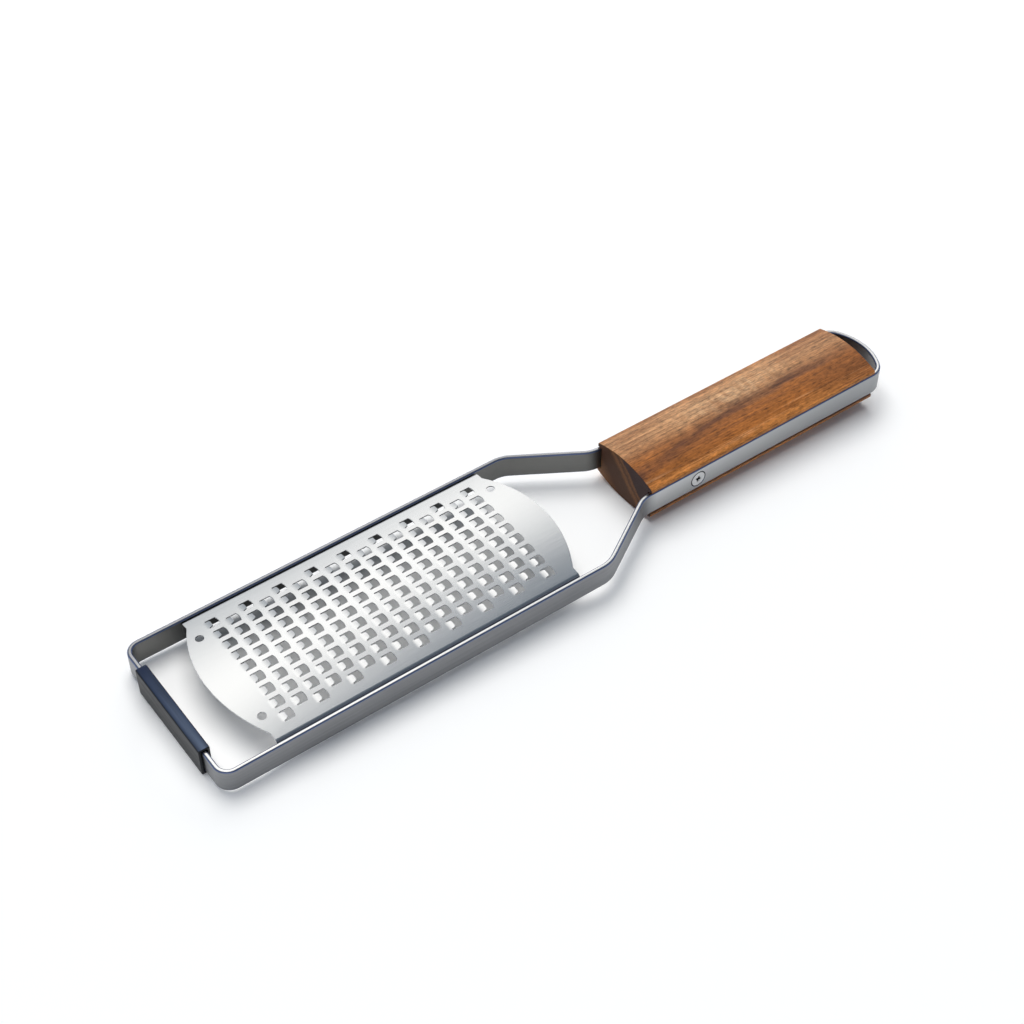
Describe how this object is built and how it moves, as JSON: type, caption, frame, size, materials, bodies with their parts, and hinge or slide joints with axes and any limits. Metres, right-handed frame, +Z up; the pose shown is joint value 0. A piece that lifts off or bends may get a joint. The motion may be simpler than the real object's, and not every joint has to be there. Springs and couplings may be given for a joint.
{
  "type": "hand grater",
  "caption": "Paddle hand grater: an arched sheet of raised teeth in a stainless strip frame, with a crowned wooden handle, a hanging loop and a rubber foot.",
  "frame": {"origin": "centre of the bounding box's base, under the middle of the whole tool", "axes": "+X from the rubber foot to the hanging loop, +Z up with the teeth on top, +Y across the tool to its far side"},
  "size_m": [0.348, 0.075, 0.0218],
  "materials": {
    "brushed_steel": "stainless strip, brushed along its length, edges polished",
    "etched_steel": "bright stainless sheet, satin",
    "plated_steel": "plain machined screws and sleeve",
    "oiled_wood": "oiled hardwood with dark streaks, open pores along the grain",
    "dark_rubber": "matt, near black with a blue cast"
  },
  "bodies": {
    "root": {"frame_band": "brushed_steel", "grating_blade": "etched_steel", "handle": "oiled_wood", "sleeve_nut": "plated_steel", "screw_near": "plated_steel", "screw_far": "plated_steel", "rubber_foot": "dark_rubber"}
  },
  "joints": []
}
